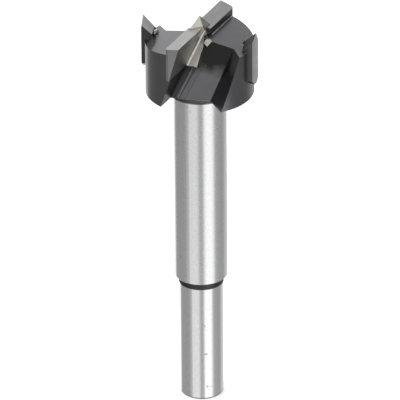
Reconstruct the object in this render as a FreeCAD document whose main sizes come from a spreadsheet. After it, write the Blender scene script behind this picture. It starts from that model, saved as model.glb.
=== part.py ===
import FreeCAD, Part
import os

import Sketcher

# A carbide-tipped boring bit that stands on its shank, cutting end up. The Z axis is the axis of
# rotation, and the origin is the centre of the shank's end face. Seen from above the bit turns
# counter-clockwise. The two cutting edges lie along X. Lengths are in millimetres, and the sizes
# of the head are heights above its underside.

os.makedirs("parts", exist_ok=True)
doc = FreeCAD.newDocument("boring_bit")

DRIVING_SIZES = {
    # turned bar
    "shank_radius": 6.35,
    "shank_length": 36.7,
    "shank_chamfer": 0.35,
    "band_rise": 0.25,
    "band_length": 2.1,
    "neck_radius": 7.7,
    "neck_length": 59.8,
    "neck_chamfer": 0.3,
    "collar_rise": 1.05,
    "collar_height": 0.4,
    "body_clearance": 1.7,
    "head_edge": 0.25,
    "ridge_height": 18.3,
    "lobe_fall": 0.165,
    # flutes, with leans in millimetres across for each millimetre down
    "floor_offset": 1.65,
    "floor_lean": 0.36,
    "floor_skew": 0.07,
    "floor_twist": 0.0115,
    "wall_lean": 0.377,
    "corner_offset": 12.15,
    "corner_lean": 0.35,
    "side_angle": 48.0,
    "ledge_width": 1.7,
    "ledge_depth": 0.22,
    "groove_width": 0.55,
    "groove_depth": 0.45,
    # cutters
    "cutting_radius": 17.5,
    "edge_offset": 1.5,
    "edge_rise": 2.8,
    "cutter_depth": 10.9,
    "flank_width": 4.56,
    "flank_fall": 1.05,
    "rake_lean": 0.298,
    "end_relief": 0.5,
    "heel_radius": 1.1,
    # spurs
    "spur_angle": 94.0,
    "spur_lead": 2.2,
    "spur_trail": 2.4,
    "spur_thickness": 3.5,
    "spur_rise": 3.3,
    "spur_length": 16.1,
    "spur_lead_fall": 3.1,
    "spur_trail_fall": 2.3,
    "spur_ridge_shift": 0.3,
    "spur_ridge_fall": 3.2,
    "spur_inner_fall": 1.9,
    "chip_notch_width": 2.4,
    "chip_notch_depth": 3.4,
    "chip_notch_height": 2.6,
    # centre point
    "point_rise": 5.9,
    "point_base_rise": 0.5,
    "point_lead_x": 2.03,
    "point_lead_y": 3.04,
    "point_trail_x": 4.3,
    "point_trail_y": 2.8,
    "core_half_width": 2.15,
    "core_depth": 8.7,
    # braze
    "braze_gap": 0.12,
    "bead_width": 0.22,
    "bead_height": 0.18,
}

sheet = doc.addObject("Spreadsheet::Sheet", "Sizes")
for row, (alias, value) in enumerate(DRIVING_SIZES.items(), start=1):
    sheet.set("A%d" % row, alias)
    sheet.set("B%d" % row, str(value))
    sheet.setAlias("B%d" % row, alias)
doc.recompute()

# Heights from the foot of the shank
NECK_START = "(Sizes.shank_length + Sizes.band_length)"
NECK_END = "(%s + Sizes.neck_length)" % NECK_START
HEAD = "(%s + Sizes.collar_height)" % NECK_END
RIDGE = "Sizes.ridge_height"
EDGE = "(Sizes.ridge_height + Sizes.edge_rise)"
CUTTER_FOOT = "(%s - Sizes.cutter_depth)" % EDGE
SPUR_TIP = "(Sizes.ridge_height + Sizes.spur_rise)"
SPUR_FOOT = "(%s - Sizes.spur_length)" % SPUR_TIP
POINT_TIP = "(Sizes.ridge_height + Sizes.point_rise)"
POINT_BASE = "(Sizes.ridge_height + Sizes.point_base_rise)"
CORE_FOOT = "(Sizes.ridge_height - Sizes.core_depth)"
ABOVE = "(%s + Sizes.edge_rise)" % POINT_TIP
BAND_RADIUS = "(Sizes.shank_radius + Sizes.band_rise)"
COLLAR_RADIUS = "(Sizes.neck_radius + Sizes.collar_rise)"
HEAD_RADIUS = "(Sizes.cutting_radius - Sizes.body_clearance)"
REACH = "(2 * Sizes.cutting_radius)"

PLAN = FreeCAD.Rotation()
ALONG_X = FreeCAD.Rotation(0.5, 0.5, 0.5, 0.5)
ALONG_Y = FreeCAD.Rotation(FreeCAD.Vector(1, 0, 0), 90)
HALF_TURN = 180


def at_head(height):
    """The height from the foot of a height given above the underside of the head."""
    return "%s + %s" % (HEAD, height)


def floor_at(height):
    """How far the flute's floor lies from the axis at a height in the head."""
    return "(Sizes.floor_offset + Sizes.floor_lean * (Sizes.ridge_height - %s))" % height


def rake_at(height):
    """Where the carbide's rake face lies across the edge at a height in the head."""
    return "(Sizes.edge_offset - Sizes.rake_lean * (%s - %s))" % (EDGE, height)


def wall_at(height):
    """Where the steel wall below the carbide lies at a height in the head."""
    foot = rake_at(CUTTER_FOOT)
    return "(%s - Sizes.wall_lean * (%s - %s))" % (foot, CUTTER_FOOT, height)


def corner_at(height):
    """How far along the floor its outer corner lies at a height in the head."""
    return "(Sizes.corner_offset - Sizes.corner_lean * (Sizes.ridge_height - %s))" % height


def outline(name, rotation, points, turn="0", height=None):
    """A closed sketch of straight lines whose corners are bound to the sheet."""
    sketch = doc.addObject("Sketcher::SketchObject", name)
    around = FreeCAD.Rotation(FreeCAD.Vector(0, 0, 1), value_of(turn))
    sketch.Placement = FreeCAD.Placement(FreeCAD.Vector(0, 0, 0), around * rotation)
    if height is not None:
        sketch.setExpression("Placement.Base.z", height)
    spots = [FreeCAD.Vector(value_of(across), value_of(up), 0) for across, up in points]
    count = len(spots)
    for index in range(count):
        sketch.addGeometry(Part.LineSegment(spots[index], spots[(index + 1) % count]))
    for index in range(count):
        sketch.addConstraint(Sketcher.Constraint("Coincident", index, 2, (index + 1) % count, 1))
    for index, (across, up) in enumerate(points):
        for kind, word in (("DistanceX", across), ("DistanceY", up)):
            place = spots[index].x if kind == "DistanceX" else spots[index].y
            number = sketch.addConstraint(Sketcher.Constraint(kind, -1, 1, index, 1, place))
            sketch.setExpression("Constraints[%d]" % number, word)
    return sketch


def value_of(word):
    """The present value of an expression in the sheet's words."""
    found = sheet.evalExpression(word)
    return float(getattr(found, "Value", found))


def pad(name, sketch, forward, back="0"):
    """A straight solid from an outline, both ways from its plane."""
    solid = doc.addObject("Part::Extrusion", name)
    solid.Base = sketch
    solid.DirMode = "Normal"
    solid.Solid = True
    solid.setExpression("LengthFwd", forward)
    solid.setExpression("LengthRev", back)
    return solid


def common(name, first, *others):
    """What several solids share."""
    shared = doc.addObject("Part::MultiCommon", name)
    shared.Shapes = [first] + list(others)
    return shared


def fuse(name, solids):
    """Several solids as one."""
    joined = doc.addObject("Part::MultiFuse", name)
    joined.Shapes = list(solids)
    return joined


def cut(name, base, tool):
    """One solid less another."""
    left = doc.addObject("Part::Cut", name)
    left.Base = base
    left.Tool = tool
    return left


def cylinder(name, radius, bottom, height):
    """An upright cylinder on the axis."""
    solid = doc.addObject("Part::Cylinder", name)
    solid.setExpression("Radius", radius)
    solid.setExpression("Height", height)
    solid.setExpression("Placement.Base.z", bottom)
    return solid


def turned_bar():
    """The shank, its unground band, the neck, the collar and the head, turned from one bar."""
    top = at_head("Sizes.ridge_height")
    points = [
        ("0", "0"),
        ("Sizes.shank_radius - Sizes.shank_chamfer", "0"),
        ("Sizes.shank_radius", "Sizes.shank_chamfer"),
        ("Sizes.shank_radius", "Sizes.shank_length"),
        (BAND_RADIUS, "Sizes.shank_length"),
        (BAND_RADIUS, NECK_START),
        ("Sizes.neck_radius - Sizes.neck_chamfer", NECK_START),
        ("Sizes.neck_radius", NECK_START + " + Sizes.neck_chamfer"),
        ("Sizes.neck_radius", NECK_END),
        (COLLAR_RADIUS, NECK_END),
        (COLLAR_RADIUS, HEAD),
        (HEAD_RADIUS + " - Sizes.head_edge", HEAD),
        (HEAD_RADIUS, HEAD + " + Sizes.head_edge"),
        (HEAD_RADIUS, top),
        ("0", top),
    ]
    profile = outline("bar_profile", ALONG_Y, points)
    bar = doc.addObject("Part::Revolution", "bar")
    bar.Source = profile
    bar.Axis = FreeCAD.Vector(0, 0, 1)
    bar.Angle = 360
    bar.Solid = True
    return bar


def skewed(height, along, deeper="0"):
    """The flute's floor at a height and a distance along it, set deeper by a step.

    It turns towards the axis, away from the wall, and more so at the foot of the head.
    """
    skew = "(Sizes.floor_skew + Sizes.floor_twist * (Sizes.ridge_height - %s))" % height
    from_wall = "(%s - %s)" % (along, wall_at(height))
    return "(%s - %s * %s - %s)" % (floor_at(height), skew, from_wall, deeper)


def flute(side, turn):
    """The slanted channel in front of a cutter, open to the rim and to both ends of the head."""
    sections = []
    for end, height in (("upper", ABOVE), ("lower", "0")):
        wall = wall_at(height)
        corner = corner_at(height)
        ledge = "(%s + Sizes.ledge_width)" % wall
        step = "(%s + Sizes.groove_width)" % ledge
        near_x = skewed(height, corner)
        side_x = "(%s + %s)" % (near_x, REACH)
        side_y = "(%s + %s * tan(Sizes.side_angle))" % (corner, REACH)
        points = [
            (skewed(height, wall, "Sizes.ledge_depth"), wall),
            ("(2 * %s)" % side_x, wall),
            ("(2 * %s)" % side_x, side_y),
            (side_x, side_y),
            (near_x, corner),
            (skewed(height, step), step),
            (skewed(height, step, "Sizes.groove_depth"), step),
            (skewed(height, ledge, "Sizes.groove_depth"), ledge),
            (skewed(height, ledge, "Sizes.ledge_depth"), ledge),
        ]
        sections.append(
            outline("flute_%s_%s" % (end, side), PLAN, points, turn, at_head(height))
        )
    channel = doc.addObject("Part::Loft", "flute_%s" % side)
    channel.Sections = sections
    channel.Solid = True
    channel.Ruled = True
    return channel


def lobe_relief(side, turn):
    """What is ground off the top of a lobe, which falls away behind its cutter."""
    far = "-" + REACH
    points = [
        ("0", at_head("Sizes.ridge_height")),
        (far, at_head("(%s - Sizes.lobe_fall * %s)" % (RIDGE, REACH))),
        (far, at_head(ABOVE)),
        ("0", at_head(ABOVE)),
    ]
    sketch = outline("relief_profile_%s" % side, ALONG_X, points, turn)
    return pad("relief_%s" % side, sketch, REACH, REACH)


def beyond_floor(name, side, turn, spread):
    """All that lies on the cutter's side of the plane of the flute's floor."""
    points = [
        (floor_at("0"), at_head("0")),
        (REACH, at_head("0")),
        (REACH, at_head(ABOVE)),
        (floor_at(ABOVE), at_head(ABOVE)),
    ]
    sketch = outline("%s_profile_%s" % (name, side), ALONG_Y, points, turn)
    return pad("%s_%s" % (name, side), sketch, spread, spread)


BACK = "(Sizes.edge_offset - Sizes.flank_width)"
LOBE_AT_BACK = "(Sizes.ridge_height + Sizes.lobe_fall * %s)" % BACK


def cutter_seat(side, turn):
    """The open step in a lobe that takes a cutter and its braze."""
    back = "%s - Sizes.braze_gap" % BACK
    foot = at_head(CUTTER_FOOT + " - Sizes.braze_gap")
    points = [
        (back, foot),
        ("Sizes.edge_offset", foot),
        ("Sizes.edge_offset", at_head(ABOVE)),
        (back, at_head(ABOVE)),
    ]
    sketch = outline("seat_profile_%s" % side, ALONG_X, points, turn)
    block = pad("seat_block_%s" % side, sketch, REACH)
    return common("seat_%s" % side, block, beyond_floor("seat_side", side, turn, REACH))


def cutter_plan(side, turn):
    """A cutter seen from above: its outer end is relieved, and its heel is rounded off."""
    heel = "(Sizes.cutting_radius - Sizes.end_relief)"
    cut_in = "(Sizes.heel_radius * (1 - cos(45)))"
    front = "(Sizes.edge_offset + Sizes.flank_width)"
    slope = "(%s + 2 * Sizes.end_relief)" % heel
    points = [
        ("-%s" % REACH, BACK),
        ("%s - Sizes.heel_radius" % heel, BACK),
        ("%s - %s" % (heel, cut_in), "%s + %s" % (BACK, cut_in)),
        (heel, "%s + Sizes.heel_radius" % BACK),
        (slope, front),
        ("-%s" % REACH, front),
    ]
    return outline("cutter_plan_profile_%s" % side, PLAN, points, turn, HEAD)


def cutter(side, turn, point):
    """A carbide cutter: a flat back, a raked front and a flank that falls behind the edge."""
    points = [
        (BACK, at_head(CUTTER_FOOT)),
        (rake_at(CUTTER_FOOT), at_head(CUTTER_FOOT)),
        ("Sizes.edge_offset", at_head(EDGE)),
        (BACK, at_head(EDGE + " - Sizes.flank_fall")),
    ]
    sketch = outline("cutter_profile_%s" % side, ALONG_X, points, turn)
    block = pad("cutter_block_%s" % side, sketch, REACH)
    swept = cylinder("cutter_sweep_%s" % side, "Sizes.cutting_radius", HEAD, ABOVE)
    inner = beyond_floor("cutter_side", side, turn, REACH)
    plan = pad("cutter_plan_%s" % side, cutter_plan(side, turn), ABOVE)
    whole = common("cutter_whole_%s" % side, block, swept, inner, plan)
    return cut("cutter_%s" % side, whole, point)


def cutter_braze(side, turn, point):
    """The braze under and behind a cutter, with the bead that shows along its back."""
    gap_back = "%s - Sizes.braze_gap" % BACK
    gap_foot = at_head(CUTTER_FOOT + " - Sizes.braze_gap")
    bead_y = "%s - Sizes.bead_width" % BACK
    bead_z = at_head("%s - Sizes.lobe_fall * Sizes.bead_width" % LOBE_AT_BACK)
    seat_z = at_head("%s - Sizes.lobe_fall * Sizes.braze_gap" % LOBE_AT_BACK)
    front = "%s - Sizes.wall_lean * Sizes.braze_gap" % rake_at(CUTTER_FOOT)
    points = [
        (gap_back, gap_foot),
        (front, gap_foot),
        (rake_at(CUTTER_FOOT), at_head(CUTTER_FOOT)),
        (BACK, at_head(CUTTER_FOOT)),
        (BACK, at_head("%s + Sizes.bead_height" % LOBE_AT_BACK)),
        (bead_y, bead_z),
        (gap_back, seat_z),
    ]
    sketch = outline("braze_profile_%s" % side, ALONG_X, points, turn)
    block = pad("braze_block_%s" % side, sketch, REACH)
    inside = cylinder("braze_sweep_%s" % side, HEAD_RADIUS, HEAD, ABOVE)
    inner = beyond_floor("braze_side", side, turn, REACH)
    whole = common("braze_whole_%s" % side, block, inside, inner)
    return cut("cutter_braze_%s" % side, whole, point)


SPUR_BACK = "(Sizes.cutting_radius - Sizes.spur_thickness)"


def spur_outline(name, side, turn, grow, top, distance="0"):
    """A spur seen from outside, with a rounded foot, at a distance from the axis.

    grow widens it for its seat, and top has the places of its ridge and the heights of the
    leading side, the ridge and the trailing side.
    """
    ridge, lead_top, ridge_top, trail_top = top
    lead = "(Sizes.spur_lead + %s)" % grow
    trail = "(Sizes.spur_trail + %s)" % grow
    foot = "(%s - %s)" % (SPUR_FOOT, grow)
    bend = "((%s + %s) * (1 - cos(45)))" % (lead, trail)
    points = [
        ("-%s + %s" % (trail, bend), at_head(foot)),
        ("%s - %s" % (lead, bend), at_head(foot)),
        (lead, at_head("%s + %s" % (foot, bend))),
        (lead, at_head(lead_top)),
        (ridge, at_head(ridge_top)),
        ("-%s" % trail, at_head(trail_top)),
        ("-%s" % trail, at_head("%s + %s" % (foot, bend))),
    ]
    sketch = outline("%s_%s" % (name, side), ALONG_X, points, turn)
    if distance != "0":
        sketch.setExpression("Placement.Base.x", "%s * cos(%s)" % (distance, turn))
        sketch.setExpression("Placement.Base.y", "%s * sin(%s)" % (distance, turn))
    return sketch


OPEN_TOP = ("0", ABOVE, ABOVE, ABOVE)


def radial_slab(name, side, turn, inner):
    """All that lies outside a distance from the axis, on a spur's side of it."""
    points = [
        (inner, at_head("0")),
        (REACH, at_head("0")),
        (REACH, at_head(ABOVE)),
        (inner, at_head(ABOVE)),
    ]
    sketch = outline("%s_profile_%s" % (name, side), ALONG_Y, points, turn)
    return pad("%s_%s" % (name, side), sketch, REACH, REACH)


def spur(side, turn):
    """A carbide spur that scores the rim of the hole: its two top facets fall inwards."""
    outer_top = (
        "0",
        "(%s - Sizes.spur_lead_fall)" % SPUR_TIP,
        SPUR_TIP,
        "(%s - Sizes.spur_trail_fall)" % SPUR_TIP,
    )
    inner_top = (
        "Sizes.spur_ridge_shift",
        "(%s - Sizes.spur_lead_fall - Sizes.spur_inner_fall)" % SPUR_TIP,
        "(%s - Sizes.spur_ridge_fall)" % SPUR_TIP,
        "(%s - Sizes.spur_trail_fall - Sizes.spur_ridge_fall)" % SPUR_TIP,
    )
    loft = doc.addObject("Part::Loft", "spur_loft_%s" % side)
    loft.Sections = [
        spur_outline("spur_outer", side, turn, "0", outer_top, "Sizes.cutting_radius"),
        spur_outline("spur_inner", side, turn, "0", inner_top, SPUR_BACK),
    ]
    loft.Solid = True
    loft.Ruled = True
    swept = cylinder("spur_sweep_%s" % side, "Sizes.cutting_radius", HEAD, ABOVE)
    return common("spur_%s" % side, loft, swept)


def spur_braze(side, turn):
    """The braze round the back, the sides and the foot of a spur, as deep as its seat."""
    seat = spur_outline("spur_braze_outer", side, turn, "Sizes.braze_gap", OPEN_TOP)
    outer = pad("spur_braze_block_%s" % side, seat, REACH)
    filled = spur_outline("spur_braze_inner", side, turn, "0", OPEN_TOP)
    core = pad("spur_braze_core_%s" % side, filled, REACH)
    kept = radial_slab("spur_braze_keep", side, turn, SPUR_BACK)
    plug = common("spur_braze_plug_%s" % side, core, kept)
    inner = "(%s - Sizes.braze_gap)" % SPUR_BACK
    slab = radial_slab("spur_braze_slab", side, turn, inner)
    return cut("spur_braze_shell_%s" % side, common("spur_braze_room_%s" % side, outer, slab), plug)


def spur_seat(side, turn):
    """The pocket at the rim of a lobe that takes a spur and its braze."""
    sketch = spur_outline("spur_seat_profile", side, turn, "Sizes.braze_gap", OPEN_TOP)
    block = pad("spur_seat_block_%s" % side, sketch, REACH)
    inner = "(%s - Sizes.braze_gap)" % SPUR_BACK
    slab = radial_slab("spur_seat_slab", side, turn, inner)
    return common("spur_seat_%s" % side, block, slab)


def chip_notch(side, turn):
    """The small notch in the lobe just ahead of a spur."""
    near = "Sizes.spur_lead"
    far = "(Sizes.spur_lead + Sizes.chip_notch_width)"
    rim = "(%s - Sizes.lobe_fall * %s)" % (RIDGE, HEAD_RADIUS)
    low = at_head("(%s - Sizes.chip_notch_height)" % rim)
    high = at_head(ABOVE)
    points = [(near, low), (far, low + " + Sizes.chip_notch_height / 2"), (far, high), (near, high)]
    sketch = outline("notch_profile_%s" % side, ALONG_X, points, turn)
    block = pad("notch_block_%s" % side, sketch, REACH)
    inner = "(%s - Sizes.chip_notch_depth)" % HEAD_RADIUS
    slab = radial_slab("notch_slab", side, turn, inner)
    return common("notch_%s" % side, block, slab)


def core_block(name, half_width, foot):
    """The part of the core between the two flutes, as wide as the planes of their floors."""
    points = [
        ("-" + floor_at(foot), at_head(foot)),
        (floor_at(foot), at_head(foot)),
        (floor_at(POINT_BASE), at_head(POINT_BASE)),
        ("-" + floor_at(POINT_BASE), at_head(POINT_BASE)),
    ]
    sketch = outline("%s_profile" % name, ALONG_Y, points)
    return pad(name, sketch, half_width, half_width)


def pyramid():
    """The four ground facets that meet in the centre point."""
    points = [
        ("Sizes.point_lead_x", "Sizes.point_lead_y"),
        ("-Sizes.point_trail_x", "Sizes.point_trail_y"),
        ("-Sizes.point_lead_x", "-Sizes.point_lead_y"),
        ("Sizes.point_trail_x", "-Sizes.point_trail_y"),
    ]
    base = outline("pyramid_base", PLAN, points, "0", at_head(POINT_BASE))
    tip = doc.addObject("Part::Vertex", "pyramid_tip")
    tip.setExpression("Placement.Base.z", at_head(POINT_TIP))
    facets = doc.addObject("Part::Loft", "pyramid")
    facets.Sections = [base, tip]
    facets.Solid = True
    facets.Ruled = True
    return facets


SIDES = (("1", 0), ("2", HALF_TURN))
flutes = fuse("flutes", [flute(side, str(turn)) for side, turn in SIDES])

point_solid = fuse("point_solid", [core_block("core", "Sizes.core_half_width", CORE_FOOT), pyramid()])
centre_point = cut("centre_point", point_solid, flutes)

wide = "(Sizes.core_half_width + Sizes.braze_gap)"
deep = "(%s - Sizes.braze_gap)" % CORE_FOOT
core_seat = core_block("core_seat", wide, deep)

reliefs = []
notches = []
seats = []
for side, turn in SIDES:
    spur_turn = "(Sizes.spur_angle + %d)" % turn
    reliefs.append(lobe_relief(side, str(turn)))
    notches.append(chip_notch(side, spur_turn))
    seats.append(cutter_seat(side, str(turn)))
    seats.append(spur_seat(side, spur_turn))
tops = fuse("tops", reliefs + notches)
milling = fuse("milling", [flutes, core_seat, tops] + seats)
bit_body = cut("bit_body", turned_bar(), milling)
blank = cylinder("blank", HEAD_RADIUS, HEAD, "Sizes.ridge_height")
lobes = cut("lobes", blank, tops)

core_braze = common(
    "core_braze",
    cut("core_gap", core_seat, point_solid),
    cut("core_room", lobes, fuse("core_cuts", [flutes] + seats)),
)

nodes = {"bit_body": bit_body, "centre_point": centre_point, "centre_braze": core_braze}
for side, turn in SIDES:
    spur_turn = "(Sizes.spur_angle + %d)" % turn
    nodes["cutter_%s" % side] = cutter(side, str(turn), point_solid)
    nodes["cutter_braze_%s" % side] = cutter_braze(side, str(turn), point_solid)
    nodes["spur_%s" % side] = spur(side, spur_turn)
    nodes["spur_braze_%s" % side] = common(
        "spur_braze_%s" % side, spur_braze(side, spur_turn), lobes
    )

doc.recompute()

for thing in doc.Objects:
    if "Invalid" in thing.State or "Error" in thing.State:
        raise RuntimeError("%s did not build" % thing.Name)
for name, thing in nodes.items():
    shape = thing.Shape
    if shape.isNull() or not shape.isValid() or not shape.Solids:
        raise RuntimeError("%s has no sound shape" % name)

for name, thing in nodes.items():
    thing.Label = name
    thing.Shape.exportStep("parts/%s.step" % name)
    print(name, len(thing.Shape.Solids), "solids, volume %.2f" % thing.Shape.Volume)
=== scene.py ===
import math

import bmesh
import bpy
from mathutils import Matrix, Vector

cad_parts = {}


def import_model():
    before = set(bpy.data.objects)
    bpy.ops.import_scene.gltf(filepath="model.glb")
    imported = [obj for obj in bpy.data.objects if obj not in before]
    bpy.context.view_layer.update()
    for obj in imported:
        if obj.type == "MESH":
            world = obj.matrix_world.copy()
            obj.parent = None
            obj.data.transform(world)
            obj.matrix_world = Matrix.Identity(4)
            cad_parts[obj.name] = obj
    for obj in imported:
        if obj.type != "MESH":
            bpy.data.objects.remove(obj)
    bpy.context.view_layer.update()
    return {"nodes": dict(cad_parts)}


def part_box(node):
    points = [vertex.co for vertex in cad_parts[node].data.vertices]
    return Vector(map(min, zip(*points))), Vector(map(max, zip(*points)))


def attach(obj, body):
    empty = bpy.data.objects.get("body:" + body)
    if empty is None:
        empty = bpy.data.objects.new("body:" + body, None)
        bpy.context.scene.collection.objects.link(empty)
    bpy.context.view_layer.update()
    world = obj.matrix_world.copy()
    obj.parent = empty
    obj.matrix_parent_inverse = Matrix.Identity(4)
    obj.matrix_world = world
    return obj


# A boring bit that stands on its shank: bright ground shank, black head, grey carbide tips.
# Lengths are in metres. A height is from the foot of the shank, and a height in the head is
# from the bottom of the head. The second side of the head is the first one, half a turn round.
# A fall, lean, skew or slope is how far a face or line shifts in each metre along it.

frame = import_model()
MM = 0.001

# The steel bar
POINT_RISE = 5.9 * MM
HEAD_TALL = 18.3 * MM
COLLAR_TALL = 0.4 * MM
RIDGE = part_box("centre_point")[1].z - POINT_RISE
HEAD_BOTTOM = RIDGE - HEAD_TALL
COLLAR_BOTTOM = HEAD_BOTTOM - COLLAR_TALL
SHANK_TOP = 36.7 * MM
BAND_TOP = 38.8 * MM
CHAMFER_TOP = 0.45 * MM
SHANK_RADIUS = 6.35 * MM
NECK_RADIUS = 7.7 * MM
COLLAR_RADIUS = 8.75 * MM
HEAD_RADIUS = 15.8 * MM
LOBE_FALL = 0.165

# The first flute, whose floor faces +X and whose wall faces +Y; its wall's foot is in the head
FLOOR_OFFSET = 1.65 * MM
FLOOR_LEAN = 0.36
FLOOR_SKEW = 0.07
FLOOR_TWIST = 0.0115 / MM
WALL_FOOT = 10.2 * MM
WALL_OFFSET = -1.75 * MM
WALL_LEAN = 0.377
LEDGE_WIDTH = 1.7 * MM
LEDGE_DEPTH = 0.22 * MM

# The carbide tips; the cutting edge's height is in the head
CUTTING_RADIUS = 17.5 * MM
CUTTER_BACK = 3.06 * MM
EDGE_HEIGHT = 21.1 * MM
EDGE_OFFSET = 1.5 * MM
RAKE_LEAN = 0.298
LAND_FALL = 0.23
SPUR_SIDE = 1.22 * MM

# The camera: the photograph is 400 pixels square, and looks down at the head from far away
PHOTO_SIDE = 400
VIEW_AZIMUTH = math.radians(25.7)
VIEW_ELEVATION = math.radians(27.5)
VIEW_DISTANCE = 2.186
VIEW_LENS = 673.0
VIEW_TURN = math.radians(-0.417)
LOOK_HEIGHT = 63.1 * MM
AXIS_RIGHT_PIXELS = 0.73


def direction(azimuth, elevation):
    """The way from the axis towards an azimuth and an elevation."""
    flat = math.cos(elevation)
    return Vector((
        flat * math.cos(azimuth),
        flat * math.sin(azimuth),
        math.sin(elevation),
    ))


def camera():
    """The photograph's view of the bit."""
    data = bpy.data.cameras.new("photo_camera")
    data.lens = VIEW_LENS
    data.sensor_width = 36
    data.shift_x = -AXIS_RIGHT_PIXELS / PHOTO_SIDE
    data.clip_start = 0.05
    data.clip_end = 20
    eye = bpy.data.objects.new("photo_camera", data)
    back = direction(VIEW_AZIMUTH, VIEW_ELEVATION)
    turn = (-back).to_track_quat("-Z", "Y").to_matrix().to_4x4()
    place = Matrix.Translation(Vector((0, 0, LOOK_HEIGHT)) + back * VIEW_DISTANCE)
    eye.matrix_world = place @ turn @ Matrix.Rotation(VIEW_TURN, 4, "Z")
    bpy.context.scene.collection.objects.link(eye)
    bpy.context.scene.camera = eye


def grey(tone):
    """A colour with no hue."""
    return (tone, tone, tone)


class Value:
    """What a node gives, a number or a colour; sums written with it make more nodes."""

    def __init__(self, nodes, socket):
        self.nodes = nodes
        self.socket = socket

    def __add__(self, other):
        return self.nodes.math("ADD", self, other)

    def __sub__(self, other):
        return self.nodes.math("SUBTRACT", self, other)

    def __rsub__(self, other):
        return self.nodes.math("SUBTRACT", other, self)

    def __mul__(self, other):
        return self.nodes.math("MULTIPLY", self, other)

    def __truediv__(self, other):
        return self.nodes.math("DIVIDE", self, other)

    def __abs__(self):
        return self.nodes.math("ABSOLUTE", self)

    def __lt__(self, other):
        """One where it is less than the other, and nought elsewhere."""
        return self.nodes.math("LESS_THAN", self, other)

    def __gt__(self, other):
        """One where it is more than the other, and nought elsewhere."""
        return self.nodes.math("GREATER_THAN", self, other)

    def sign(self):
        return self.nodes.math("SIGN", self)

    def or_more(self, other):
        """Whichever of the two is more."""
        return self.nodes.math("MAXIMUM", self, other)

    def share_of(self, whole):
        """Its share of the whole, kept between nought and one."""
        return self.nodes.math("DIVIDE", self, whole, clamp=True)


class Nodes:
    """A short way to write the nodes of a material or of the sky."""

    def __init__(self, tree, coordinates):
        self.tree = tree
        self.place = Value(self, self.add("ShaderNodeTexCoord").outputs[coordinates])
        self.x, self.y, self.z = self.split(self.place)

    def add(self, kind, **settings):
        node = self.tree.nodes.new(kind)
        for key, value in settings.items():
            setattr(node, key, value)
        return node

    def join(self, output, target):
        self.tree.links.new(output, target)

    def feed(self, target, value):
        """Gives a socket a number, three numbers, a colour or what another node gives."""
        if isinstance(value, Value):
            self.join(value.socket, target)
        elif isinstance(value, tuple):
            target.default_value = (*value, 1)[:len(target.default_value)]
        else:
            target.default_value = value

    def fed(self, node, *values):
        """What a node gives, with its inputs fed in their order."""
        for target, value in zip(node.inputs, values):
            self.feed(target, value)
        return Value(self, node.outputs[0])

    def math(self, operation, *values, clamp=False):
        node = self.add("ShaderNodeMath", operation=operation, use_clamp=clamp)
        return self.fed(node, *values)

    def split(self, vector):
        """The x, y and z of a vector."""
        node = self.add("ShaderNodeSeparateXYZ")
        self.feed(node.inputs[0], vector)
        return [Value(self, socket) for socket in node.outputs]

    def length(self, *sides):
        """How long a line is that reaches this far along x, y and z."""
        line = self.fed(self.add("ShaderNodeCombineXYZ"), *sides)
        node = self.add("ShaderNodeVectorMath", operation="LENGTH")
        self.feed(node.inputs[0], line)
        return Value(self, node.outputs["Value"])

    def seen_from_camera(self):
        """The place, turned so that x points to the camera's side and y to its right."""
        node = self.add("ShaderNodeVectorRotate", rotation_type="Z_AXIS")
        self.feed(node.inputs["Vector"], self.place)
        self.feed(node.inputs["Angle"], -VIEW_AZIMUTH)
        return self.split(Value(self, node.outputs[0]))

    def stretched(self, scale):
        """The place, with patterns drawn out along each axis whose scale is small."""
        node = self.add("ShaderNodeMapping")
        self.feed(node.inputs["Vector"], self.place)
        self.feed(node.inputs["Scale"], scale)
        return Value(self, node.outputs[0])

    def noise(self, scale, detail, place=None):
        """A cloudy pattern; its scale is about the number of clouds in a metre."""
        node = self.add("ShaderNodeTexNoise")
        self.feed(node.inputs["Vector"], place or self.place)
        self.feed(node.inputs["Scale"], scale)
        self.feed(node.inputs["Detail"], detail)
        return Value(self, node.outputs["Fac"])

    def ramp(self, value, *stops):
        """A tone or colour that changes with a value; each stop is (value, tone or colour)."""
        node = self.add("ShaderNodeValToRGB")
        marks = node.color_ramp.elements
        while len(marks) < len(stops):
            marks.new(0.5)
        for mark, (at, tone) in zip(marks, stops):
            mark.position = at
            mark.color = (*(tone if isinstance(tone, tuple) else grey(tone)), 1)
        return self.fed(node, value)

    def mix(self, share, first, second):
        """The first colour, with this share of the second over it."""
        node = self.add("ShaderNodeMix", data_type="RGBA")
        for target, value in zip((0, 6, 7), (share, first, second)):
            self.feed(node.inputs[target], value)
        return Value(self, node.outputs[2])


class Finish(Nodes):
    """The nodes of a material, whose patterns lie on the object's own coordinates."""

    def __init__(self, name):
        self.material = bpy.data.materials.new(name)
        self.material.use_nodes = True
        super().__init__(self.material.node_tree, "Object")
        self.shader = self.tree.nodes["Principled BSDF"]
        self.surface = self.tree.nodes["Material Output"].inputs["Surface"]

    def metal(self, colour, roughness):
        """Makes it a bare metal, and gives the material."""
        self.feed(self.shader.inputs["Base Color"], colour)
        self.feed(self.shader.inputs["Roughness"], roughness)
        self.feed(self.shader.inputs["Metallic"], 1.0)
        return self.material

    def bump(self, height, strength, distance):
        node = self.add("ShaderNodeBump")
        self.feed(node.inputs["Strength"], strength)
        self.feed(node.inputs["Distance"], distance)
        self.feed(node.inputs["Height"], height)
        self.join(node.outputs[0], self.shader.inputs["Normal"])


def flute_place(nodes):
    """How far past its flute's wall a point lies, and how far it stands out of the floor."""
    wall = (nodes.z - (HEAD_BOTTOM + WALL_FOOT)) * WALL_LEAN + WALL_OFFSET
    past_wall = nodes.y * nodes.x.sign() - wall
    depth = RIDGE - nodes.z
    skew = depth * FLOOR_TWIST + FLOOR_SKEW
    floor_plane = depth * FLOOR_LEAN + FLOOR_OFFSET - skew * past_wall
    return past_wall, abs(nodes.x) - floor_plane


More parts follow.
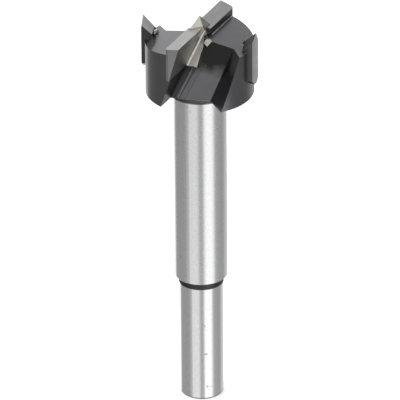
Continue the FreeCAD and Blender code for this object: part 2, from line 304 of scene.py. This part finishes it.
# In these patterns, a skin is how far from a surface a point still counts as lying on it


def inside_head(nodes):
    """One for points under the lobes' tops and inside the head's round side."""
    top_skin = 0.08 * MM
    side_skin = 0.06 * MM
    under_top = nodes.z + abs(nodes.y) * LOBE_FALL < RIDGE - top_skin
    return under_top * (nodes.length(nodes.x, nodes.y) < HEAD_RADIUS - side_skin)


# How dark the flute's floor is: (way from the wall as a share of WHEEL_REACH, darkness)
WHEEL_REACH = 5 * MM
WHEEL_LINES = (
    (0.0, 0.80), (0.13, 0.85), (0.16, 0.55), (0.19, 0.85), (0.30, 0.85), (0.335, 0.15),
    (0.36, 0.80), (0.44, 0.60), (0.48, 0.40), (0.50, 0.90), (0.53, 0.90), (0.56, 0.20),
    (0.83, 0.20), (0.855, 0.5), (0.875, 0.5), (0.90, 0.10),
)


def wheel_dark(nodes):
    """How dark the lines are that the grinding wheel left along the foot of each wall."""
    lines_foot = HEAD_BOTTOM + 4 * MM
    lines_lean = 0.07
    floor_skin = 0.3 * MM
    past_wall, proud = flute_place(nodes)
    way = (past_wall - (nodes.z - lines_foot) * lines_lean) / WHEEL_REACH
    on_floor = (abs(proud) < floor_skin) * inside_head(nodes)
    return on_floor * nodes.ramp(way, *WHEEL_LINES)


def painted_dark_reflection(nodes):
    """How much painted dark reflection lies in the flutes near the top of the head."""
    uneven = 6 * MM
    cloud = (nodes.noise(260, 3) - 0.5) * uneven
    height = (nodes.z + cloud - HEAD_BOTTOM) / HEAD_TALL
    near_top = nodes.ramp(height, (0.39, 0.0), (0.60, 1.0))
    near_axis = nodes.ramp(abs(nodes.y) / HEAD_RADIUS, (0.70, 1.0), (0.77, 0.25))
    return inside_head(nodes) * near_top * near_axis


# The two lines on the first lobe's top that the painted shade lies outside of: (way out, slope)
NOTCH_SHADE_LINES = ((13.88 * MM, 0.48), (11.82 * MM, 0.215))


def notch_painted_shade(nodes):
    """How dark the painted shade is that stands in for a notch on the first lobe's rim in front
    of its spur.
    """
    starts_at = 1.5 * MM
    fade = 0.35 * MM
    top_skin = 0.1 * MM
    out = nodes.y * -1
    near, far = [way_out - nodes.x * slope for way_out, slope in NOTCH_SHADE_LINES]
    patch = (out - near.or_more(far)).share_of(fade)
    on_top = nodes.z + out * LOBE_FALL > RIDGE - top_skin
    return patch * (nodes.x > starts_at) * on_top


def collar_painted_light(nodes):
    """One on the top of the collar, where the flutes run out: painted light for a lit rounded
    lip.
    """
    top_skin = 0.04 * MM
    unpainted_rim = 0.25 * MM
    on_top = abs(nodes.z - HEAD_BOTTOM) < top_skin
    return on_top * (nodes.length(nodes.x, nodes.y) < COLLAR_RADIUS - unpainted_rim)


# Small marks of use: degrees to the right of the view; height, half width and half height in mm
MARKS = (
    (-49.9, 46.9, 0.3, 0.25),
    (11.1, 15.1, 0.55, 0.35),
    (8.0, 24.5, 0.25, 0.3),
    (23.6, 4.1, 0.9, 0.12),
    (14.0, 4.3, 0.3, 0.5),
    (-29.5, 97.0, 0.5, 0.15),
    (-22.0, 95.6, 0.15, 0.5),
)


def mark_of_use(nodes, azimuth, height, half_width, half_height):
    """One where a small ragged oval mark lies on the shank or the neck."""
    edge = 1.5
    radius = NECK_RADIUS if height > BAND_TOP else SHANK_RADIUS
    around = VIEW_AZIMUTH + math.radians(azimuth)
    reach = nodes.length(
        (nodes.x - radius * math.cos(around)) / half_width,
        (nodes.y - radius * math.sin(around)) / half_width,
        (nodes.z - height) / half_height,
    )
    return reach + nodes.noise(5200, 2) < edge


def ground_steel(nodes, grain, blotch, unground):
    """The colour of the shank and neck, with the dark of the places that aren't ground."""
    bright = nodes.ramp(grain, (0.3, (0.81, 0.81, 0.82)), (0.7, (0.89, 0.89, 0.90)))
    band = nodes.ramp(blotch, (0.3, (0.05, 0.05, 0.055)), (0.7, (0.10, 0.10, 0.11)))
    colour = nodes.mix(unground, bright, band)
    for azimuth, *lengths in MARKS:
        spot = mark_of_use(nodes, azimuth, *[length * MM for length in lengths])
        colour = nodes.mix(spot, colour, (0.55, 0.55, 0.56))
    return colour


def black_oxide(nodes, blotch):
    """The colour of the head, from even dark grey to black in the flutes, with painted dark
    reflection near the flutes' top, painted shade in front of the first spur and painted light on
    the collar's top.
    """
    colour = nodes.ramp(blotch, (0.3, (0.145, 0.145, 0.153)), (0.7, (0.182, 0.182, 0.190)))
    colour = nodes.mix(wheel_dark(nodes), colour, grey(0.012))
    # Painted dark reflection: the flutes are darker near the top of the head.
    colour = nodes.mix(painted_dark_reflection(nodes), colour, grey(0.016))
    # Painted shade where a notch in front of the first spur would be.
    colour = nodes.mix(notch_painted_shade(nodes), colour, (0.014, 0.014, 0.013))
    # Painted light: the collar's top is lighter, as a lit rounded lip would be.
    return nodes.mix(collar_painted_light(nodes), colour, (0.52, 0.52, 0.49))


def steel_bar():
    """One bar: bright ground shank and neck, a dark unground band, and a black oxide head."""
    nodes = Finish("shank_and_head_steel")
    seam = 0.02 * MM
    relief_edge = SHANK_TOP - 0.05 * MM
    is_head = nodes.z > COLLAR_BOTTOM + seam
    is_band = (nodes.z > relief_edge) * (nodes.z < BAND_TOP + seam)
    unground = is_band.or_more(nodes.z < CHAMFER_TOP)
    grain = nodes.noise(1700, 4)
    blotch = nodes.noise(90, 4)
    bar = ground_steel(nodes, grain, blotch, unground)
    colour = nodes.mix(is_head, bar, black_oxide(nodes, blotch))

    # The neck is the plainest part: the shank is smoother, the head and the band are rougher
    is_shank = nodes.z < SHANK_TOP
    roughness = nodes.noise(2600, 2) * 0.12 + 0.20
    roughness = roughness + is_head * 0.05 + unground * 0.2 - is_shank * 0.03
    nodes.feed(nodes.shader.inputs["Coat Weight"], is_head * 0.35)
    nodes.feed(nodes.shader.inputs["Coat Roughness"], 0.2)
    nodes.bump(grain, 0.04, 0.01 * MM)
    return nodes.metal(colour, roughness)


def ground_lines(nodes, low, high):
    """The colour of carbide ground with a fine wheel, with faint lines along the edge."""
    lines = nodes.noise(1500, 2, nodes.stretched((0.12, 1.0, 1.0)))
    nodes.bump(lines, 0.1, 0.01 * MM)
    tone = lines * 0.5 + nodes.noise(260, 3) * 0.5
    return nodes.ramp(tone, (0.35, low), (0.65, high))


# The corners at the foot of the centre point, seen from above, in mm
LEADING_CORNER = (2.03, 3.04)
TRAILING_CORNER = (4.3, -2.8)


def trailing_face(nodes):
    """One on the two faces of the point that lie behind its leading corners."""
    corners = (LEADING_CORNER, TRAILING_CORNER)
    lead, trail = [nodes.y * x - nodes.x * y for x, y in corners]
    return lead * trail > 0


def land_foot_brown(nodes):
    """One in a brown line where the point stands on a cutter's land."""
    least_width = 0.12 * MM
    uneven = 0.5 * MM
    fall = (EDGE_OFFSET - nodes.y * nodes.x.sign()) * LAND_FALL
    above_land = nodes.z + fall - (HEAD_BOTTOM + EDGE_HEIGHT)
    return above_land < nodes.noise(1400, 2) * uneven + least_width


def beyond_core_face(nodes, past_wall):
    """One past the leaning edge that ends the core's ground face."""
    edge_top = HEAD_BOTTOM + 16.4 * MM
    edge_lean = 0.206
    return past_wall > (edge_top - nodes.z) * edge_lean + LEDGE_WIDTH


def point_carbide():
    """The centre point: a warm ground tip with painted shade on its trailing faces, a ground face
    on its core, and dark sides, with painted shade past that face.
    """
    nodes = Finish("centre_point_carbide")
    tip_foot = RIDGE + 2.3 * MM
    high_foot = RIDGE - 2 * MM
    low_skin = 0.75 * MM
    high_skin = 0.40 * MM
    wall_skin = 0.03 * MM
    past_wall, proud = flute_place(nodes)
    is_tip = nodes.z > tip_foot
    is_high = nodes.z > high_foot
    at_floor = proud > is_high * (low_skin - high_skin) - low_skin
    past_face = beyond_core_face(nodes, past_wall)
    core_face = at_floor * ((past_wall > -wall_skin) - past_face)
    is_ground = (core_face * (0.86 - is_high * 0.5)).or_more(is_tip)

    unground_and_painted_shade = nodes.mix(at_floor, grey(0.07), (0.25, 0.245, 0.235))
    # Painted shade: the core's sides past its ground face are darker still.
    unground_and_painted_shade = nodes.mix(past_face, unground_and_painted_shade, (0.04, 0.04, 0.035))
    bright = ground_lines(nodes, (0.50, 0.475, 0.42), (0.62, 0.59, 0.53))
    colour = nodes.mix(is_ground, unground_and_painted_shade, bright)
    # Painted shade: the tip's two trailing faces, turned away from the light, are darker.
    colour = nodes.mix(trailing_face(nodes) * is_tip * 0.35, colour, (0.10, 0.10, 0.09))
    colour = nodes.mix(land_foot_brown(nodes) * is_tip * 0.6, colour, (0.15, 0.11, 0.08))
    return nodes.metal(colour, 0.26)


def rake_painted_reflection(nodes):
    """How much painted reflection lies on a cutter's front face: most above a line from its tip
    to its inner foot.
    """
    face_skin = 0.12 * MM
    line_foot = HEAD_BOTTOM + 6.4 * MM
    line_slope = 0.81
    fade = 1 * MM
    rake = (nodes.z - (HEAD_BOTTOM + EDGE_HEIGHT)) * RAKE_LEAN + EDGE_OFFSET
    on_rake = abs(nodes.y * nodes.x.sign() - rake) < face_skin
    above_line = (nodes.z - abs(nodes.x) * line_slope - line_foot).share_of(fade)
    return on_rake * (above_line * 0.65 + 0.35)


def tip_carbide(name, ground, dark, low, high):
    """Grey carbide: bright where ground(nodes) gives one, dark as sintered elsewhere, with a
    painted reflection on a cutter's front face.
    """
    nodes = Finish(name)
    bright = ground_lines(nodes, grey(low), grey(high))
    colour = nodes.mix(ground(nodes), grey(dark), bright)
    # Painted reflection: a cutter's front face is lighter, most above the line from its tip to
    # its inner foot.
    colour = nodes.mix(rake_painted_reflection(nodes), colour, (0.68, 0.68, 0.67))
    return nodes.metal(colour, 0.38)


def cutter_ground(nodes):
    """A cutter is ground all over but for its back."""
    back_skin = 0.03 * MM
    return abs(nodes.y) < CUTTER_BACK - back_skin


def spur_ground(nodes):
    """A spur is ground outside, duller on the facet past its ridge, and dull on its far side."""
    outer_skin = 0.05 * MM
    facet_start = -0.02 * MM
    facet_end = 1.9 * MM
    far_side = -2.3 * MM
    is_outside = nodes.length(nodes.x, nodes.y) > CUTTING_RADIUS - outer_skin
    past_ridge = nodes.x * nodes.y.sign() * -1 - SPUR_SIDE
    is_facet = (past_ridge > facet_start) * (past_ridge < facet_end)
    return is_outside.or_more(is_facet * 0.6 + (past_ridge < far_side) * 0.1)


def braze_metal(name, flux, dull, bright):
    """Silver braze: a dull metal with darker marks of flux and brighter runs."""
    nodes = Finish(name)
    cloud = nodes.noise(700, 4)
    nodes.bump(cloud, 0.4, 0.05 * MM)
    colour = nodes.ramp(cloud, (0.35, flux), (0.5, dull), (0.8, bright))
    return nodes.metal(colour, cloud * 0.2 + 0.2)


def bare_metal(name, low, high, roughness):
    """Bare metal with a faint grain."""
    nodes = Finish(name)
    colour = nodes.ramp(nodes.noise(900, 3), (0.35, low), (0.65, high))
    return nodes.metal(colour, roughness)


def add_object(name, shape, material):
    """An object at the origin, made from a bmesh."""
    mesh = bpy.data.meshes.new(name)
    shape.to_mesh(mesh)
    shape.free()
    mesh.materials.append(material)
    piece = bpy.data.objects.new(name, mesh)
    bpy.context.scene.collection.objects.link(piece)
    return piece


SIDES = ("1", "2")


def moved_to(side, point):
    """The place on a side of the head that matches a point on its first side."""
    turn = 1 if side == "1" else -1
    return Vector((turn * point.x, turn * point.y, point.z))


def wall_at(height):
    """How far the first flute's wall lies from the axis, by the height in the head."""
    return WALL_OFFSET + WALL_LEAN * (height - WALL_FOOT)


def floor_point(height, past_wall, lift=0.0):
    """A point on the first flute's floor, by its height in the head and the way from the wall."""
    depth = HEAD_TALL - height
    skew = FLOOR_SKEW + FLOOR_TWIST * depth
    x = FLOOR_OFFSET + FLOOR_LEAN * depth - skew * past_wall
    if past_wall < LEDGE_WIDTH:
        x -= LEDGE_DEPTH
    z = HEAD_BOTTOM + height + lift * FLOOR_LEAN
    return Vector((x + lift, wall_at(height) + past_wall, z))


def lobe_point(x, y, lift):
    """A point on top of the lobe that lies behind the second cutter."""
    return Vector((x, y, RIDGE - LOBE_FALL * y + lift))


def lobe_edge(y, lift):
    """A point on the edge between that lobe and the first flute's floor."""
    height = HEAD_TALL - LOBE_FALL * y
    return floor_point(height, y - wall_at(height)) + Vector((lift, 0, lift))


def thin_plate(name, corners, thickness, material):
    """A closed plate through corners given round its edge, grown backwards from them."""
    plate = bmesh.new()
    face = plate.faces.new([plate.verts.new(corner) for corner in corners])
    face.normal_update()
    back = -face.normal * thickness
    grown = bmesh.ops.extrude_face_region(plate, geom=[face], use_keep_orig=True)
    moved = [part for part in grown["geom"] if isinstance(part, bmesh.types.BMVert)]
    bmesh.ops.translate(plate, verts=moved, vec=back)
    bmesh.ops.recalc_face_normals(plate, faces=plate.faces)
    piece = add_object(name, plate, material)
    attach(piece, "root")


def corner_highlight_plate(side, material):
    """A pale plate, a painted highlight along the edge where a cutter's face meets the centre."""
    low, high = 9.75 * MM, 20.1 * MM
    near, far = -0.05 * MM, 0.42 * MM
    proud, flush = 0.42 * MM, 0.03 * MM
    narrowing = 0.7
    thickness = 0.12 * MM
    corners = [
        floor_point(low, near, proud),
        floor_point(low, far, flush),
        floor_point(high, far * narrowing, flush),
        floor_point(high, near, proud * narrowing),
    ]
    placed = [moved_to(side, corner) for corner in corners]
    thin_plate("ground_corner_" + side, placed, thickness, material)


def bare_spot(side, material):
    """The small flat where the wheel that ground the centre has touched the lobe's edge."""
    lift = 0.04 * MM
    thickness = 0.2 * MM
    edge = [lobe_edge(2.9 * MM, lift), lobe_edge(4.75 * MM, lift)]
    under = [floor_point(16.7 * MM, LEDGE_WIDTH, lift), floor_point(15.85 * MM, 3.1 * MM, lift)]
    over = [lobe_point(0.65 * MM, 3.6 * MM, lift), lobe_point(1.3 * MM, 2.75 * MM, lift)]
    for part, corners in (("under", under + edge[::-1]), ("over", edge + over)):
        placed = [moved_to(side, corner) for corner in corners]
        thin_plate("bare_spot_%s_%s" % (side, part), placed, thickness, material)


def braze_drop(name, side, centre, size, seed, material):
    """A drop of braze: a ball pressed flat, with an uneven skin."""
    ball = bmesh.new()
    bmesh.ops.create_icosphere(ball, subdivisions=3, radius=1)
    for vert in ball.verts:
        swell = math.sin(5 * vert.co.x + seed) * math.cos(4 * vert.co.y + 2 * seed)
        ripple = math.sin(9 * vert.co.z + seed)
        reach = 1 + 0.16 * swell + 0.08 * ripple
        vert.co = moved_to(side, centre + size * vert.co * reach)
    for face in ball.faces:
        face.smooth = True
    piece = add_object("braze_%s_%s" % (name, side), ball, material)
    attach(piece, "root")


# Drops of braze: name, the sides that have one, middle and half size in mm, height in the head
DROPS = (
    ("spur_inside", "2", (-0.8, 13.6, 16.25), (1.35, 0.6, 1.15)),
    ("spur_foot", "1", (1.0, 15.3, 15.8), (0.55, 0.25, 0.15)),
    ("cutter_end", "12", (-14.6, 3.25, 17.9), (0.7, 0.22, 0.3)),
    ("core_side", "12", (0.35, 2.45, 17.95), (0.5, 0.3, 0.22)),
)


def braze_drops(material):
    """Every drop of braze, no two of them alike."""
    for number, (name, sides, middle, half_size) in enumerate(DROPS):
        centre = Vector(middle) * MM + Vector((0, 0, HEAD_BOTTOM))
        for side in sides:
            seed = number + 0.35 * int(side)
            braze_drop(name, side, centre, Vector(half_size) * MM, seed, material)


def dress(node, material):
    """Gives a CAD node one material."""
    mesh = frame["nodes"][node].data
    mesh.materials.clear()
    mesh.materials.append(material)


# What the vertical faces see all round: (degrees to the right of the view, brightness)
SURROUND = (
    (-180, 0.2), (-172, 1.0), (-149, 1.0), (-138, 0.31), (-64, 0.30), (-54, 0.72),
    (-14, 0.80), (-5, 0.36), (11, 0.36), (17, 1.1), (55, 1.1), (64, 0.38), (112, 0.31),
    (126, 0.45), (136, 0.60), (166, 0.60), (176, 0.2), (180, 0.2),
)
RING_RADIUS = 0.6
RING_TOP = 0.16
RING_BOTTOM = -0.94
RING_FOOT = -0.25


def surround_cards():
    """Pale and grey cards side by side, a little brighter at their foot."""
    foot_fade = 0.05
    foot_extra = 0.2
    nodes = Finish("surround_cards")
    nodes.tree.nodes.remove(nodes.shader)
    x, y, z = nodes.seen_from_camera()
    turn = nodes.math("ARCTAN2", y, x) / (2 * math.pi) + 0.5
    stops = [((degrees + 180) / 360, tone) for degrees, tone in SURROUND]
    strength = (RING_FOOT - z).share_of(foot_fade) * foot_extra + 1.0
    glow = nodes.fed(nodes.add("ShaderNodeEmission"), nodes.ramp(turn, *stops), strength)
    nodes.feed(nodes.surface, glow)
    return nodes.material


def surround():
    """A soft ring of cards round the bit, which only its polished faces see."""
    ring = bmesh.new()
    bmesh.ops.create_cone(
        ring, cap_ends=False, segments=96,
        radius1=RING_RADIUS, radius2=RING_RADIUS, depth=RING_TOP - RING_BOTTOM,
    )
    bmesh.ops.translate(ring, verts=ring.verts, vec=(0, 0, (RING_TOP + RING_BOTTOM) / 2))
    cards = add_object("surround", ring, surround_cards())
    for ray in ("camera", "diffuse", "shadow", "transmission", "volume_scatter"):
        setattr(cards, "visible_" + ray, False)


def pale_floor():
    """A matt floor that the camera sees a little brighter, so that it looks white."""
    seen_glow = 0.45
    nodes = Finish("pale_floor")
    nodes.feed(nodes.shader.inputs["Base Color"], grey(0.86))
    nodes.feed(nodes.shader.inputs["Roughness"], 0.9)
    nodes.feed(nodes.shader.inputs["Specular IOR Level"], 0.0)
    path = nodes.add("ShaderNodeLightPath")
    white = nodes.add("ShaderNodeEmission")
    lift = nodes.add("ShaderNodeAddShader")
    pick = nodes.add("ShaderNodeMixShader")
    nodes.feed(white.inputs["Strength"], seen_glow)
    nodes.join(nodes.shader.outputs[0], lift.inputs[0])
    nodes.join(white.outputs[0], lift.inputs[1])
    nodes.join(path.outputs["Is Camera Ray"], pick.inputs[0])
    nodes.join(nodes.shader.outputs[0], pick.inputs[1])
    nodes.join(lift.outputs[0], pick.inputs[2])
    nodes.join(pick.outputs[0], nodes.surface)
    return nodes.material


def floor():
    """A plain pale floor that keeps the bit's faint shadow."""
    half_side = 4
    plane = bmesh.new()
    bmesh.ops.create_grid(plane, x_segments=1, y_segments=1, size=half_side)
    ground = add_object("floor", plane, pale_floor())
    ground.visible_glossy = False


# How bright the sky is for reflections: (place from the view's left to its right, brightness)
SKY = ((0.0, 1.06), (0.42, 1.03), (0.62, 0.60), (1.0, 0.32))


def world():
    """A pale sky that is brighter on the left, and white where the camera sees it."""
    sky = bpy.data.worlds.new("studio")
    bpy.context.scene.world = sky
    sky.use_nodes = True
    nodes = Nodes(sky.node_tree, "Generated")
    rightward = nodes.seen_from_camera()[1]
    bright = nodes.ramp(rightward * 0.5 + 0.5, *SKY)
    path = nodes.add("ShaderNodeLightPath")
    colour = nodes.mix(Value(nodes, path.outputs["Is Camera Ray"]), bright, grey(1.0))
    nodes.feed(nodes.tree.nodes["Background"].inputs["Color"], colour)


LAMP_DISTANCE = 1.0


def lamp(name, azimuth, elevation, size, power):
    """A soft square lamp that looks at the head, in degrees to the right of the view and up."""
    data = bpy.data.lights.new(name, "AREA")
    data.shape = "SQUARE"
    data.size = size
    data.energy = power
    out = direction(VIEW_AZIMUTH + math.radians(azimuth), math.radians(elevation))
    light = bpy.data.objects.new(name, data)
    light.location = Vector((0, 0, HEAD_BOTTOM)) + out * LAMP_DISTANCE
    light.rotation_mode = "QUATERNION"
    light.rotation_quaternion = (-out).to_track_quat("-Z", "Y")
    bpy.context.scene.collection.objects.link(light)


camera()
world()
floor()
surround()
lamp("overhead_left", azimuth=-120, elevation=62, size=0.7, power=4)
lamp("overhead_right", azimuth=100, elevation=55, size=0.5, power=1)

cutter_carbide = tip_carbide("cutter_carbide", cutter_ground, dark=0.08, low=0.36, high=0.43)
spur_carbide = tip_carbide("spur_carbide", spur_ground, dark=0.065, low=0.54, high=0.65)
braze = braze_metal(
    "silver_braze", flux=(0.16, 0.13, 0.11), dull=(0.42, 0.42, 0.43), bright=(0.72, 0.72, 0.74)
)
burnt_braze = braze_metal(
    "burnt_braze", flux=(0.03, 0.025, 0.02), dull=(0.07, 0.06, 0.05), bright=(0.16, 0.13, 0.10)
)
dress("bit_body", steel_bar())
dress("centre_point", point_carbide())
dress("centre_braze", burnt_braze)
for side in SIDES:
    dress("cutter_" + side, cutter_carbide)
    dress("spur_" + side, spur_carbide)
    dress("cutter_braze_" + side, braze)
    dress("spur_braze_" + side, braze)

# Painted highlight: a pale metal for the bright line along the edge where a cutter's face meets
# the centre.
highlight_plate_metal = bare_metal("ground_corner_metal", (0.72, 0.70, 0.65), (0.85, 0.83, 0.78), 0.45)
spot_metal = bare_metal("bare_ground_steel", (0.66, 0.63, 0.56), (0.88, 0.86, 0.80), 0.4)
for side in SIDES:
    corner_highlight_plate(side, highlight_plate_metal)
for side in SIDES:
    bare_spot(side, spot_metal)
braze_drops(braze)

bpy.context.scene.view_settings.view_transform = "Standard"
